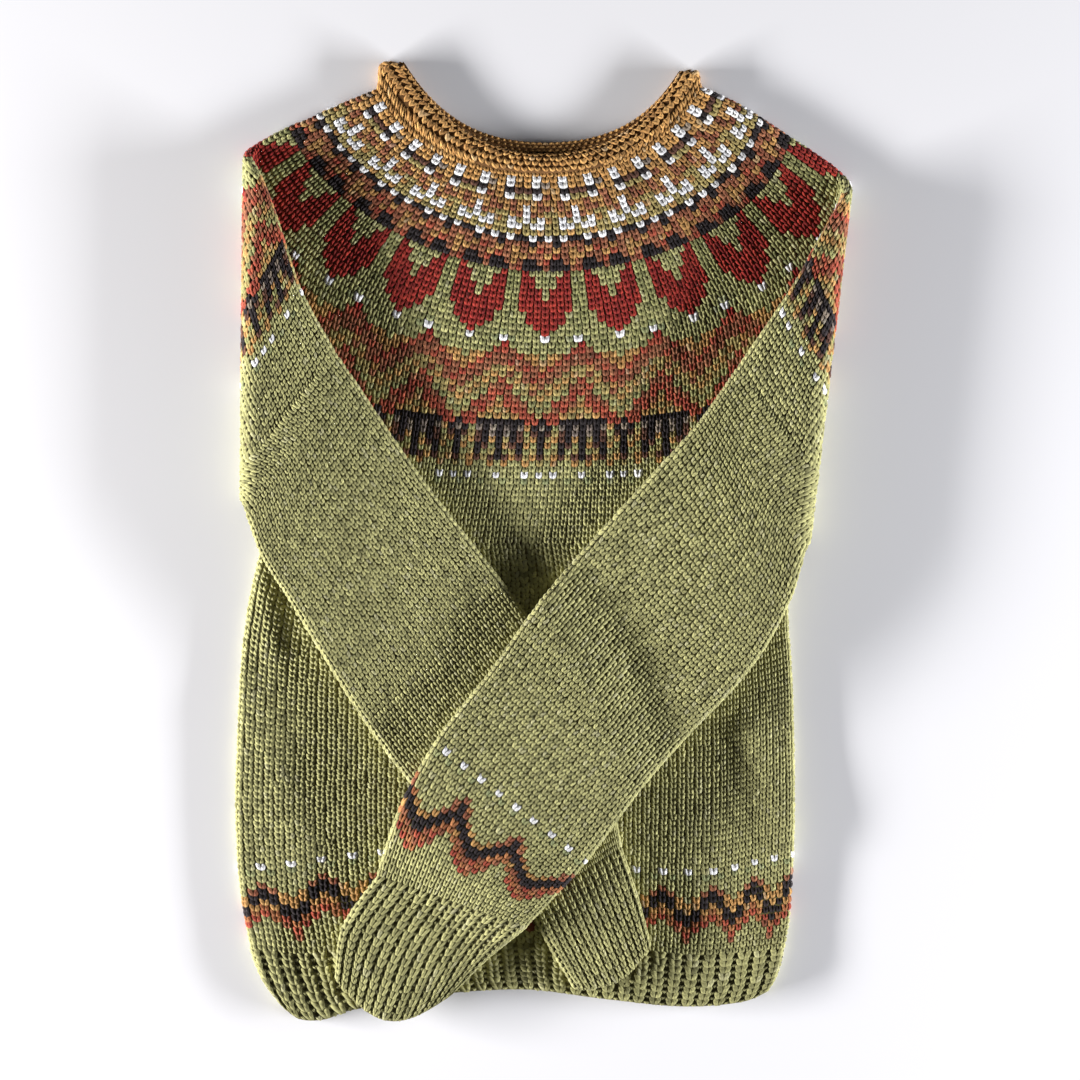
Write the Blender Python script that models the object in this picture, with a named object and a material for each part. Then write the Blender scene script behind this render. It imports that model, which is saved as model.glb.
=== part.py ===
"""Fair isle sweater lying flat, front up, with both sleeves folded over the front and crossed.
X runs to the viewer's right, Y toward the neck, Z up off the surface. Metres."""

import math

import bmesh
import bpy
import numpy as np

for old in list(bpy.data.objects):
    bpy.data.objects.remove(old, do_unlink=True)

# Driving sizes
GRID = 0.0007          # one step of the layout grid
MID_X = 544            # grid column of the middle
MID_Y = 542            # grid row of the middle
PANEL = 0.008          # two knitted layers lying on each other
HALF = PANEL / 2
WALL = 0.003           # one knitted layer
HOLLOW = HALF - WALL   # half of the space between the layers
SEAM = 0.0008          # gap where one piece meets the next
REST = 0.0006          # gap between a folded sleeve and what it lies on
FOLD_IN = 0.0035       # inner radius of the shoulder folds
FOLD_OUT = FOLD_IN + PANEL
FOLD_MID = FOLD_IN + HALF
DOME = 0.0014          # how far the upper layer of a sleeve swells
RIB = 0.0012           # depth of the grooves between ribs
SETTLE = 0.110         # distance from the fold at which a sleeve is down on the front
SPREAD = 0.052         # distance over which the upper sleeve comes down from the lower one
BOX_MID = (-0.00075, 0.00080)   # middle of the layout, moved to the frame's origin

# Yoke: edge points on the unfolded garment, from the neck out to the joining round
YOKE_LEFT = (
    # x,  y
    (375, 88),
    (330, 107),
    (275, 132),
    (243, 152),
    (224, 173),
    (203, 225),
    (180, 290),
    (145, 352),
)
YOKE_RIGHT = (
    # x,  y
    (703, 86),
    (740, 103),
    (790, 135),
    (838, 168),
    (859, 196),
    (876, 250),
    (891, 302),
    (925, 392),
)
NECK_Y = 178           # middle of the front neck seam
JOIN_Y = 545           # middle of the joining round
CENTRE_X = 545
BACK_RISE = 15         # how much higher the back neck lies
ROW_TURN_LEFT = (65, 55)
ROW_TURN_RIGHT = (64, 42)
ROW_PULL = (1.0, 2.5)

# Neck roll: its upper rim
RIM_LEFT = (403, 60)
RIM_RIGHT = (680, 69)
TIP_LEFT = (-0.0056, 0.0070)
TIP_RIGHT = (0.0042, 0.0042)
TIP_REACH = 0.05
RIM_FRONT_Y = 153
RIM_BACK_Y = 141
RIM_TURN = 58

# Body: edges from the underarm to the hem rib, and the rows at the rib's top and at the hem
BODY_LEFT = ((260, 545), (248, 600), (240, 660), (236, 740), (234, 800), (236, 860), (241, 905), (250, 951))
BODY_RIGHT = ((787, 560), (789, 620), (793, 680), (795, 760), (795, 820), (793, 880), (790, 920), (785, 951))
HEM_TOP = ((250, 951), (300, 956), (350, 953), (430, 946), (520, 945), (620, 950), (700, 957), (785, 951))
HEM_EDGE = ((282, 1008), (300, 1020), (325, 1020), (350, 1011), (420, 997), (520, 990), (600, 999),
            (680, 1007), (740, 1003), (769, 992))
HEM_LEFT = ((250, 951), (256, 968), (266, 988), (282, 1008))
HEM_RIGHT = ((785, 951), (782, 965), (777, 979), (769, 992))

# Sleeves as they lie: inner edge, then outer edge, from the joining round to the cuff
SLEEVE_LEFT = (
    # inner x, y, outer x, y
    (355, 380, 243, 506),
    (385, 425, 262, 555),
    (425, 482, 290, 600),
    (470, 540, 325, 658),
    (515, 598, 365, 722),
    (558, 665, 408, 780),
    (592, 735, 455, 832),
    (611, 795, 497, 873),
    (622, 848, 530, 908),
)
CUFF_LEFT = ((622, 848, 530, 908), (637, 893, 549, 945), (651, 944, 575, 989))
SLEEVE_RIGHT = (
    # inner x, y, outer x, y
    (713, 402, 808, 548),
    (690, 432, 790, 598),
    (640, 487, 766, 645),
    (590, 542, 735, 686),
    (540, 600, 692, 731),
    (490, 670, 640, 789),
    (437, 738, 588, 858),
    (400, 806, 556, 893),
    (376, 876, 526, 925),
)
CUFF_RIGHT = ((376, 876, 526, 925), (342, 926, 490, 956), (335, 977, 452, 994))
CUFF_BOW = {"left": 0.010, "right": 0.024}
SLEEVE_TOP = {"left": 0.131, "right": 0.134}

# Fold lines of the shoulders, as the outline shows them
FOLDS = {
    "left": ((243, 158), (240, 490)),
    "right": ((852, 190), (812, 530)),
}

# Soft creases of the body's upper layer: start, end, height and half-width
CREASES = (
    # x0,  y0,  x1,  y1,  height, width
    (752, 735, 783, 830, 0.0030, 0.014),
    (262, 575, 272, 650, 0.0025, 0.010),
    (258, 720, 300, 850, 0.0012, 0.016),
)

BODY_FLATS = 14
SLEEVE_FLATS = 6
HEM_RIBS = 64
CUFF_RIBS = 28


def lay(points):
    """Grid points in metres."""
    p = np.asarray(points, float)
    return np.stack([(p[..., 0] - MID_X) * GRID, (MID_Y - p[..., 1]) * GRID], -1)


def smooth(points, count=160):
    """A dense curve through the points."""
    p = np.asarray(points, float)
    p = np.vstack([2 * p[0] - p[1], p, 2 * p[-1] - p[-2]])
    spans = len(p) - 3
    t = np.linspace(0, spans, count)
    i = np.minimum(t.astype(int), spans - 1)
    f = (t - i)[:, None]
    a, b, c, d = p[i], p[i + 1], p[i + 2], p[i + 3]
    return 0.5 * (2 * b + (c - a) * f + (2 * a - 5 * b + 4 * c - d) * f**2 + (3 * b - a - 3 * c + d) * f**3)


class Row:
    """A curve measured along its own length."""

    def __init__(self, points):
        self.p = np.asarray(points, float)
        step = np.linalg.norm(np.diff(self.p, axis=0), axis=1)
        self.s = np.concatenate([[0], np.cumsum(step)])
        self.length = self.s[-1]

    def at(self, t):
        t = np.asarray(t, float)
        inside = np.clip(t, 0, self.length)
        xy = np.stack([np.interp(inside, self.s, self.p[:, k]) for k in range(2)], -1)
        first = (self.p[1] - self.p[0]) / self.s[1]
        last = (self.p[-1] - self.p[-2]) / (self.s[-1] - self.s[-2])
        xy = xy + np.minimum(t, 0)[..., None] * first
        return xy + np.maximum(t - self.length, 0)[..., None] * last

    def share(self, f):
        return self.at(np.asarray(f, float) * self.length)


def ease(t):
    t = np.clip(t, 0, 1)
    return t * t * (3 - 2 * t)


# Yoke rows
EDGE = {"left": Row(smooth(lay(YOKE_LEFT))), "right": Row(smooth(lay(YOKE_RIGHT)))}


def half_row(edge, turn, pull, middle):
    """From an edge point to the middle: leaves the edge at the turn and arrives level."""
    drop = middle[1] - edge[1]
    toward = 1 if middle[0] > edge[0] else -1
    corner = np.array([edge[0] + toward * abs(drop) / math.tan(math.radians(turn)), middle[1]])
    t = np.linspace(0, 1, 90)[:, None]
    weights = (1 - t) ** 2, 2 * pull * t * (1 - t), t**2
    return (weights[0] * edge + weights[1] * corner + weights[2] * middle) / sum(weights)


def yoke_row(depth, back=False):
    """A row of the yoke, 0 at the neck and 1 at the joining round."""
    rise = BACK_RISE * (1 - depth) if back else 0
    middle = lay((CENTRE_X, NECK_Y + (JOIN_Y - NECK_Y) * depth - rise))
    pull = ROW_PULL[0] + (ROW_PULL[1] - ROW_PULL[0]) * depth
    turns = [a + (b - a) * depth for a, b in (ROW_TURN_LEFT, ROW_TURN_RIGHT)]
    left = half_row(EDGE["left"].share(depth), turns[0], pull, middle)
    right = half_row(EDGE["right"].share(depth), turns[1], pull, middle)
    return Row(np.vstack([left, right[-2::-1]]))


def neck_row(up, back=False):
    """A row of the neck roll, 0 at its seam and 1 at its rim."""
    seam = yoke_row(0, back)
    middle = lay((CENTRE_X, RIM_BACK_Y if back else RIM_FRONT_Y))
    left = half_row(lay(RIM_LEFT), RIM_TURN, 1.1, middle)
    right = half_row(lay(RIM_RIGHT), RIM_TURN, 1.1, middle)
    rim = Row(np.vstack([left, right[-2::-1]]))
    f = np.linspace(0, 1, 180)
    puff = np.exp(-f / TIP_REACH)[:, None] * np.array(TIP_LEFT)
    puff = puff + np.exp((f - 1) / TIP_REACH)[:, None] * np.array(TIP_RIGHT)
    return Row(seam.share(f) * (1 - up) + rim.share(f) * up + puff * math.sin(math.pi * up) ** 2)


JOIN = yoke_row(1)


def join_part(side, count=60):
    """The joining round over one sleeve, from its outer edge to the underarm, or over the body."""
    low, high = SLEEVE_TOP["left"], JOIN.length - SLEEVE_TOP["right"]
    if side == "left":
        return JOIN.at(np.linspace(0, low - SEAM, count))
    if side == "right":
        return JOIN.at(np.linspace(JOIN.length, high + SEAM, count))
    return JOIN.at(np.linspace(low + SEAM, high - SEAM, count))


def bend(points):
    """How far a row strays from the straight line between its ends."""
    f = np.linspace(0, 1, len(points))[:, None]
    return points - (points[0] * (1 - f) + points[-1] * f)


class Panel:
    """A piece between two side edges, from a top row to a bottom row."""

    def __init__(self, edge_a, edge_b, top, bottom=None, reach=0.5):
        self.a = smooth(edge_a, 200)
        self.b = smooth(edge_b, 200)
        middle = Row((self.a + self.b) / 2)
        self.length = middle.length
        self.v = middle.s / middle.length
        self.top = bend(top)
        self.bottom = bend(bottom) if bottom is not None else np.zeros_like(self.top)
        self.reach = reach

    def row(self, v, back=False):
        ends = [np.array([np.interp(v, self.v, e[:, k]) for k in range(2)]) for e in (self.a, self.b)]
        count = 120
        f = np.linspace(0, 1, count)
        share = float(ease(v / self.reach))
        stray = 0
        for part, weight in ((self.top, 1 - share), (self.bottom, share)):
            g = np.linspace(0, 1, len(part))
            stray = stray + weight * np.stack([np.interp(f, g, part[:, k]) for k in range(2)], -1)
        line = ends[0] * (1 - f[:, None]) + ends[1] * f[:, None]
        return Row(line + stray)


# Shoulder folds
class Fold:
    def __init__(self, side):
        start, end = lay(FOLDS[side])
        along = (end - start) / np.linalg.norm(end - start)
        out = np.array([-along[1], along[0]])
        if (out[0] > 0) != (side == "right"):
            out = -out
        self.out = out
        self.start = start - out * FOLD_OUT
        self.height = PANEL + FOLD_IN
        self.turn = math.pi * FOLD_MID

    def distance(self, xy):
        return (xy - self.start) @ self.out

    def unfold(self, xy):
        """Where a point of a sleeve as it lies comes from on the unfolded garment."""
        xy = np.asarray(xy, float)
        s = self.distance(xy)
        return xy + (self.turn - 2 * s)[..., None] * self.out

    def apply(self, p):
        xy, z = p[..., :2], p[..., 2]
        s = self.distance(xy)
        phi = np.clip(s / FOLD_MID, 0, math.pi)
        radius = self.height - z
        over = np.maximum(s - self.turn, 0)
        moved = np.where(s > 0, radius * np.sin(phi) - over, s)
        lifted = np.where(s > 0, self.height - radius * np.cos(phi), z)
        flat = xy + (moved - s)[..., None] * self.out
        return np.concatenate([flat, lifted[..., None]], -1), over


FOLD = {side: Fold(side) for side in FOLDS}

LYING = {
    "left": lay(np.array(SLEEVE_LEFT + CUFF_LEFT[1:]).reshape(-1, 2, 2)),
    "right": lay(np.array(SLEEVE_RIGHT + CUFF_RIGHT[1:]).reshape(-1, 2, 2)),
}


def cover(xy):
    """1 over the lower sleeve, fading to 0 beside it."""
    a, b = LYING["left"][:, 0], LYING["left"][:, 1]
    middle = (a + b) / 2
    half = np.linalg.norm(a - b, axis=1) / 2
    best = np.full(xy.shape[:-1], 1e3)
    for i in range(len(middle) - 1):
        run = middle[i + 1] - middle[i]
        f = np.clip(((xy - middle[i]) @ run) / (run @ run), 0, 1)
        near = middle[i] + f[..., None] * run
        beyond = np.linalg.norm(xy - near, axis=-1) - (half[i] * (1 - f) + half[i + 1] * f)
        best = np.minimum(best, beyond)
    return 1 - ease((best - 0.004) / SPREAD)


DOWN = 2 * FOLD_IN - REST
UP = PANEL + DOME + 2 * REST + PANEL - (PANEL + 2 * FOLD_IN)


def fold_over(p, side):
    """Fold a point of the unfolded garment over the front and let it settle there."""
    q, over = FOLD[side].apply(p)
    settled = ease(over / SETTLE)
    if side == "right":
        on_top = cover(q[..., :2]) * (over > 0)
        change = -DOWN * settled * (1 - on_top) + UP * on_top * ease(over / 0.03)
    else:
        change = -DOWN * settled
    q[..., 2] += change
    return q


def creased(p):
    """Raise the upper layer of the body along its soft creases."""
    z = p[..., 2].copy()
    for x0, y0, x1, y1, height, width in CREASES:
        a, b = lay((x0, y0)), lay((x1, y1))
        run = b - a
        f = ((p[..., :2] - a) @ run) / (run @ run)
        near = a + np.clip(f, 0, 1)[..., None] * run
        away = np.linalg.norm(p[..., :2] - near, axis=-1)
        z = z + height * np.exp(-((away / width) ** 2)) * ease((p[..., 2] - HALF) / HOLLOW)
    out = p.copy()
    out[..., 2] = z
    return out


# Rings
def stops(length, flats, turns=2):
    """Places round a flattened tube: close together at its two edges, even between them."""
    arc = HALF * math.pi / 2
    whole = length - 2 * HALF + 2 * arc
    q = [arc * k / turns for k in range(turns)]
    q += list(np.linspace(arc, whole - arc, flats + 1))
    q += [whole - arc * k / turns for k in range(turns - 1, 0, -1)]
    return np.array(q) / whole


def around(front, back, c, half, swell=0.0, side=None):
    """Points of a flattened tube: c is 0 to 1 over the front and 1 to 2 over the back. The back,
    which is uppermost once folded over, swells by that much beyond the fold."""
    c = np.asarray(c, float)
    half = np.broadcast_to(np.asarray(half, float), c.shape)
    out = np.zeros(c.shape + (3,))
    arc = HALF * math.pi / 2
    for row, mask, sign in ((front, c < 1, 1), (back, c >= 1, -1)):
        f = c[mask] if sign > 0 else 2 - c[mask]
        h = half[mask]
        whole = row.length - 2 * HALF + 2 * arc
        q = f * whole
        a = np.clip(q / HALF, 0, math.pi / 2)
        b = np.clip((whole - q) / HALF, 0, math.pi / 2)
        t = np.where(q < arc, HALF - h * np.cos(a), HALF + q - arc)
        t = np.where(whole - q < arc, row.length - HALF + h * np.cos(b), t)
        z = h * np.where(q < arc, np.sin(a), np.where(whole - q < arc, np.sin(b), 1))
        out[mask, :2] = row.at(t)
        rise = 0
        if side and sign < 0:
            beyond = FOLD[side].distance(out[mask, :2]) - FOLD[side].turn
            rise = swell * np.sin(math.pi * np.clip(f, 0, 1)) * ease(beyond / 0.03)
        out[mask, 2] = np.maximum(HALF + sign * z, 0) - rise
    return out


def full_circle(front, back, flats, turns=2):
    f = stops(front.length, flats, turns)
    g = 2 - stops(back.length, flats, turns)[::-1]
    return np.concatenate([f, [1.0], g[:-1]])


def yoke_circle(front, back):
    """As full_circle, with stops that meet those of the sleeves and the body at the joining round."""
    low, high = SLEEVE_TOP["left"], JOIN.length - SLEEVE_TOP["right"]
    meets = np.concatenate([
        np.linspace(HALF, low - HALF, SLEEVE_FLATS + 1),
        np.linspace(low + HALF, high - HALF, BODY_FLATS + 1),
        np.linspace(high + HALF, JOIN.length - HALF, SLEEVE_FLATS + 1),
    ])
    share = (meets - HALF) / (JOIN.length - PANEL)
    halves = []
    arc = HALF * math.pi / 2
    for row in (front, back):
        whole = row.length - PANEL + 2 * arc
        q = np.concatenate([[0, arc / 2], arc + share * (whole - 2 * arc), [whole - arc / 2]])
        halves.append(q / whole)
    return np.concatenate([halves[0], [1.0], (2 - halves[1][::-1])[:-1]])


# Meshes
COLLECTION = bpy.data.collections.new("fair_isle_sweater")
bpy.context.scene.collection.children.link(COLLECTION)


def material(name, colour, roughness=0.95):
    m = bpy.data.materials.new(name)
    m.use_nodes = True
    shader = m.node_tree.nodes["Principled BSDF"]
    shader.inputs["Base Color"].default_value = (*colour, 1)
    shader.inputs["Roughness"].default_value = roughness
    shader.inputs["Metallic"].default_value = 0
    return m


GREEN = material("green_yarn", (0.21, 0.18, 0.075))
PATTERN = material("pattern_yarn", (0.20, 0.115, 0.05))
MUSTARD = material("mustard_yarn", (0.28, 0.14, 0.05))


def loft(bm, rings, closed_up):
    """Faces between rings of equal count, and across the last one to the first when closed up."""
    made = [[bm.verts.new(p) for p in ring] for ring in rings]
    pairs = list(zip(made, made[1:]))
    if closed_up:
        pairs.append((made[-1], made[0]))
    for one, two in pairs:
        n = len(one)
        for i in range(n):
            bm.faces.new((one[i], one[(i + 1) % n], two[(i + 1) % n], two[i]))
    return made


def lip(bm, outer, inner):
    """The rim between a ribbed outer ring and a plain inner one."""
    step = len(outer) // len(inner)
    n = len(inner)
    for i in range(n):
        mine, following = inner[i], inner[(i + 1) % n]
        run = [outer[(i * step + k) % len(outer)] for k in range(step + 1)]
        for k in range(step):
            bm.faces.new((mine, run[k], run[k + 1]))
        bm.faces.new((mine, run[step], following))


def finish(bm, name, skin, folds=(), after=None):
    """Cut along the fold lines, fold, and make the node."""
    shift = np.array([-BOX_MID[0], -BOX_MID[1], 0])
    for side in folds:
        fold = FOLD[side]
        for k in range(9):
            at = fold.start + fold.out * fold.turn * k / 8
            bmesh.ops.bisect_plane(
                bm,
                geom=list(bm.verts) + list(bm.edges) + list(bm.faces),
                dist=1e-6,
                plane_co=(at[0], at[1], 0),
                plane_no=(fold.out[0], fold.out[1], 0),
            )
    bm.verts.ensure_lookup_table()
    p = np.array([v.co[:] for v in bm.verts])
    if after is not None:
        p = after(p)
    for side in folds:
        q = fold_over(p, side)
        beyond = FOLD[side].distance(p[:, :2]) > 0
        p = np.where(beyond[:, None], q, p)
    for v, co in zip(bm.verts, p + shift):
        v.co = co
    bmesh.ops.triangulate(bm, faces=list(bm.faces), quad_method="SHORT_EDGE")
    bmesh.ops.recalc_face_normals(bm, faces=list(bm.faces))
    mesh = bpy.data.meshes.new(name)
    bm.to_mesh(mesh)
    bm.free()
    mesh.materials.append(skin)
    mesh.shade_smooth()
    node = bpy.data.objects.new(name, mesh)
    COLLECTION.objects.link(node)
    return node


def tube(name, skin, fronts, backs, flats, swell=0.0, folds=(), after=None):
    """A plain knitted tube: outer rings one way and inner rings back."""
    side = folds[0] if swell else None
    outer = []
    inner = []
    for front, back in zip(fronts, backs):
        c = full_circle(front, back, flats) if flats else yoke_circle(front, back)
        outer.append(around(front, back, c, HALF, swell, side))
        inner.append(around(front, back, c, HOLLOW, swell, side))
    bm = bmesh.new()
    loft(bm, outer + inner[::-1], True)
    return finish(bm, name, skin, folds, after)


def ribbed(name, skin, panel, levels, ribs, swell, folds=()):
    """A ribbed tube: ribs raised in its outer points over a plain inside."""
    phases = (0.04, 0.20, 0.54, 0.70)
    depths = (HALF - RIB, HALF, HALF, HALF - RIB)
    c = np.array([(k + f) / ribs * 2 for k in range(ribs) for f in phases])
    h = np.array(list(depths) * ribs)
    d = np.array([(k + 0.37) / ribs * 2 for k in range(ribs)])
    side = folds[0] if folds else None
    outer = []
    inner = []
    for v in levels:
        front, back = panel.row(v), panel.row(v)
        grown = swell * (1 - v)
        outer.append(around(front, back, c, h, grown, side))
        inner.append(around(front, back, d, HOLLOW, grown, side))
    bm = bmesh.new()
    shell = loft(bm, outer, False)
    lining = loft(bm, inner, False)
    lip(bm, shell[0], lining[0])
    lip(bm, shell[-1], lining[-1])
    return finish(bm, name, skin, folds)


# Yoke
depths = np.linspace(0, 1, 10)
depths[0] = SEAM / 2 / 0.257
depths[-1] = 1 - SEAM / 2 / 0.257
yoke = tube(
    "yoke",
    PATTERN,
    [yoke_row(d) for d in depths],
    [yoke_row(d, True) for d in depths],
    0,
    folds=("left", "right"),
)

# Neck roll: one closed band, round on top
ROLL = (
    # up, half-thickness
    (0.02, 0.0040),
    (0.30, 0.0052),
    (0.70, 0.0052),
    (0.94, 0.0041),
    (1.00, 0.0028),
    (0.94, 0.0014),
    (0.50, 0.0008),
    (0.02, 0.0010),
)
rings = []
for up, half in ROLL:
    front, back = neck_row(up), neck_row(up, True)
    rings.append(around(front, back, full_circle(front, back, 18), half))
bm = bmesh.new()
loft(bm, rings, True)
finish(bm, "neck_roll", MUSTARD)

# Body
top = join_part("body")
body_panel = Panel(
    np.vstack([top[:1], lay(BODY_LEFT)]),
    np.vstack([top[-1:], lay(BODY_RIGHT)]),
    top,
    Row(smooth(lay(HEM_TOP))).share(np.linspace(0, 1, 120)),
    0.9,
)
levels = np.linspace(0, 1, 12)
levels[0] = SEAM / 2 / body_panel.length
levels[-1] = 1 - SEAM / 2 / body_panel.length
rows = [body_panel.row(v) for v in levels]
tube("body", GREEN, rows, rows, BODY_FLATS, after=creased)

# Hem rib
hem_panel = Panel(
    lay(HEM_LEFT),
    lay(HEM_RIGHT),
    Row(smooth(lay(HEM_TOP))).share(np.linspace(0, 1, 120)),
    Row(smooth(lay(HEM_EDGE))).share(np.linspace(0, 1, 120)),
    1.0,
)
ribbed("hem_rib", GREEN, hem_panel, (SEAM / 2 / hem_panel.length, 0.5, 0.93, 1.0), HEM_RIBS, 0.0)

# Sleeves and cuffs
for side, table, cuff in (("left", SLEEVE_LEFT, CUFF_LEFT), ("right", SLEEVE_RIGHT, CUFF_RIGHT)):
    lying = lay(np.array(table).reshape(-1, 2, 2))
    flat = FOLD[side].unfold(lying)
    start = join_part(side)
    panel = Panel(
        np.vstack([start[:1], flat[:, 0]]),
        np.vstack([start[-1:], flat[:, 1]]),
        start,
        None,
        0.22,
    )
    levels = np.concatenate([[SEAM / 2 / panel.length], np.linspace(0.05, 1, 15)])
    levels[-1] = 1 - SEAM / 2 / panel.length
    rows = [panel.row(v) for v in levels]
    tube("sleeve_" + side, GREEN, rows, rows, SLEEVE_FLATS, DOME, (side,))
    ends = FOLD[side].unfold(lay(np.array(cuff).reshape(-1, 2, 2)))
    f = np.linspace(0, 1, 60)
    chord = ends[-1][1] - ends[-1][0]
    down = np.array([chord[1], -chord[0]]) / np.linalg.norm(chord)
    if down @ (ends[-1].mean(0) - ends[0].mean(0)) < 0:
        down = -down
    line = ends[-1][0] * (1 - f[:, None]) + ends[-1][1] * f[:, None]
    bow = line + (np.sin(math.pi * f) * CUFF_BOW[side])[:, None] * down
    cuff_panel = Panel(ends[:, 0], ends[:, 1], line, bow, 1.0)
    cuff_levels = (SEAM / 2 / cuff_panel.length, 0.25, 0.5, 0.75, 0.95, 1.0)
    ribbed("cuff_" + side, GREEN, cuff_panel, cuff_levels, CUFF_RIBS, DOME, (side,))
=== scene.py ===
"""Fair isle sweater lying flat with crossed sleeves: thin knitted shells with every stitch laid on them."""

import math

import bpy
import numpy as np
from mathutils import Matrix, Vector


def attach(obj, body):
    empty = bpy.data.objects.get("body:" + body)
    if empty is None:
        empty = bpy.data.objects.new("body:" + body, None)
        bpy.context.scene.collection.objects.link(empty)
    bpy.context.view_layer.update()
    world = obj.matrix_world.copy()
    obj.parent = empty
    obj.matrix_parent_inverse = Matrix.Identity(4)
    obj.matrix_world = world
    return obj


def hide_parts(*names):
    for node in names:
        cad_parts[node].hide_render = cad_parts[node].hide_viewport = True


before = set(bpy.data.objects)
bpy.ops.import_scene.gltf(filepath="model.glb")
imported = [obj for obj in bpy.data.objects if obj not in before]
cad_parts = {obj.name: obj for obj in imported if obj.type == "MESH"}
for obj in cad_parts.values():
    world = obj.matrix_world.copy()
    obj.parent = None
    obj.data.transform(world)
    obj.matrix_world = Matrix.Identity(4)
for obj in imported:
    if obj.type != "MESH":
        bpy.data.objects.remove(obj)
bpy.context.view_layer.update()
RNG = np.random.default_rng(7)

# Sizes, in metres, shared with the solids
GRID = 0.0007
MID_X = 544
MID_Y = 542
PANEL = 0.008
HALF = PANEL / 2
SEAM = 0.0008
REST = 0.0006
FOLD_IN = 0.0035
FOLD_OUT = FOLD_IN + PANEL
FOLD_MID = FOLD_IN + HALF
DOME = 0.0014
SETTLE = 0.110
SPREAD = 0.052
BOX_MID = (-0.00075, 0.00080)
ROW_STEP = 0.00414
ARC = HALF * math.pi / 2

YOKE_LEFT = (
    (375, 88),
    (330, 107),
    (275, 132),
    (243, 152),
    (224, 173),
    (203, 225),
    (180, 290),
    (145, 352),
)
YOKE_RIGHT = (
    (703, 86),
    (740, 103),
    (790, 135),
    (838, 168),
    (859, 196),
    (876, 250),
    (891, 302),
    (925, 392),
)
NECK_Y = 178
JOIN_Y = 545
CENTRE_X = 545
BACK_RISE = 15
ROW_CURVE = (
    # depth, turn of the row's left and right ends in degrees, pull on the left and on the right
    (0.00, 65, 64, 1.0, 1.0),
    (0.17, 69, 76, 0.6, 0.75),
    (0.44, 71, 75, 0.8, 0.8),
    (0.81, 61, 52, 2.0, 2.0),
    (1.00, 55, 42, 2.5, 2.5),
)
RIM_LEFT = (403, 60)
RIM_RIGHT = (680, 69)
TIP_LEFT = (-0.0056, 0.0070)
TIP_RIGHT = (0.0042, 0.0042)
TIP_REACH = 0.05
RIM_FRONT_Y = 153
RIM_BACK_Y = 141
RIM_TURN = 58
BODY_LEFT = ((260, 545), (248, 600), (240, 660), (236, 740), (234, 800), (236, 860), (241, 905), (250, 951))
BODY_RIGHT = ((787, 560), (789, 620), (793, 680), (795, 760), (795, 820), (793, 880), (790, 920), (785, 951))
HEM_TOP = ((250, 951), (300, 956), (350, 953), (430, 946), (520, 945), (620, 950), (700, 957), (785, 951))
HEM_EDGE = ((282, 1008), (300, 1020), (325, 1020), (350, 1011), (420, 997), (520, 990), (600, 999),
            (680, 1007), (740, 1003), (769, 992))
HEM_LEFT = ((250, 951), (256, 968), (266, 988), (282, 1008))
HEM_RIGHT = ((785, 951), (782, 965), (777, 979), (769, 992))
SLEEVE_LEFT = (
    (355, 380, 243, 506),
    (385, 425, 262, 555),
    (425, 482, 290, 600),
    (470, 540, 325, 658),
    (515, 598, 365, 722),
    (558, 665, 408, 780),
    (592, 735, 455, 832),
    (611, 795, 497, 873),
    (622, 848, 530, 908),
)
CUFF_LEFT = ((622, 848, 530, 908), (637, 893, 549, 945), (651, 944, 575, 989))
SLEEVE_RIGHT = (
    (713, 402, 808, 548),
    (690, 432, 790, 598),
    (640, 487, 766, 645),
    (590, 542, 735, 686),
    (540, 600, 692, 731),
    (490, 670, 640, 789),
    (437, 738, 588, 858),
    (400, 806, 556, 893),
    (376, 876, 526, 925),
)
CUFF_RIGHT = ((376, 876, 526, 925), (342, 926, 490, 956), (335, 977, 452, 994))
CUFF_BOW = {"left": 0.010, "right": 0.024}
SLEEVE_TOP = {"left": 0.131, "right": 0.134}
FOLDS = {
    "left": ((243, 158), (240, 490)),
    "right": ((852, 190), (812, 530)),
}
CREASES = (
    (752, 735, 783, 830, 0.0030, 0.014),
    (262, 575, 272, 650, 0.0025, 0.010),
    (258, 720, 300, 850, 0.0012, 0.016),
)
HEM_RIBS = 64
CUFF_RIBS = 28
# The parts of the folded yoke that lie over the front, added above the sleeves
OVER_LEFT = ((258, 170, 240, 176), (300, 290, 240, 300))
OVER_RIGHT = ((843, 200, 860, 206), (785, 300, 858, 306))


def lay(points):
    p = np.asarray(points, float)
    return np.stack([(p[..., 0] - MID_X) * GRID, (MID_Y - p[..., 1]) * GRID], -1)


def smooth(points, count=160):
    p = np.asarray(points, float)
    p = np.vstack([2 * p[0] - p[1], p, 2 * p[-1] - p[-2]])
    spans = len(p) - 3
    t = np.linspace(0, spans, count)
    i = np.minimum(t.astype(int), spans - 1)
    f = (t - i)[:, None]
    a, b, c, d = p[i], p[i + 1], p[i + 2], p[i + 3]
    return 0.5 * (2 * b + (c - a) * f + (2 * a - 5 * b + 4 * c - d) * f**2 + (3 * b - a - 3 * c + d) * f**3)


class Row:
    def __init__(self, points):
        self.p = np.asarray(points, float)
        step = np.linalg.norm(np.diff(self.p, axis=0), axis=1)
        self.s = np.concatenate([[0], np.cumsum(step)])
        self.length = self.s[-1]

    def at(self, t):
        t = np.asarray(t, float)
        inside = np.clip(t, 0, self.length)
        xy = np.stack([np.interp(inside, self.s, self.p[:, k]) for k in range(2)], -1)
        first = (self.p[1] - self.p[0]) / self.s[1]
        last = (self.p[-1] - self.p[-2]) / (self.s[-1] - self.s[-2])
        xy = xy + np.minimum(t, 0)[..., None] * first
        return xy + np.maximum(t - self.length, 0)[..., None] * last

    def share(self, f):
        return self.at(np.asarray(f, float) * self.length)


def ease(t):
    t = np.clip(t, 0, 1)
    return t * t * (3 - 2 * t)


EDGE = {"left": Row(smooth(lay(YOKE_LEFT))), "right": Row(smooth(lay(YOKE_RIGHT)))}


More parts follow.
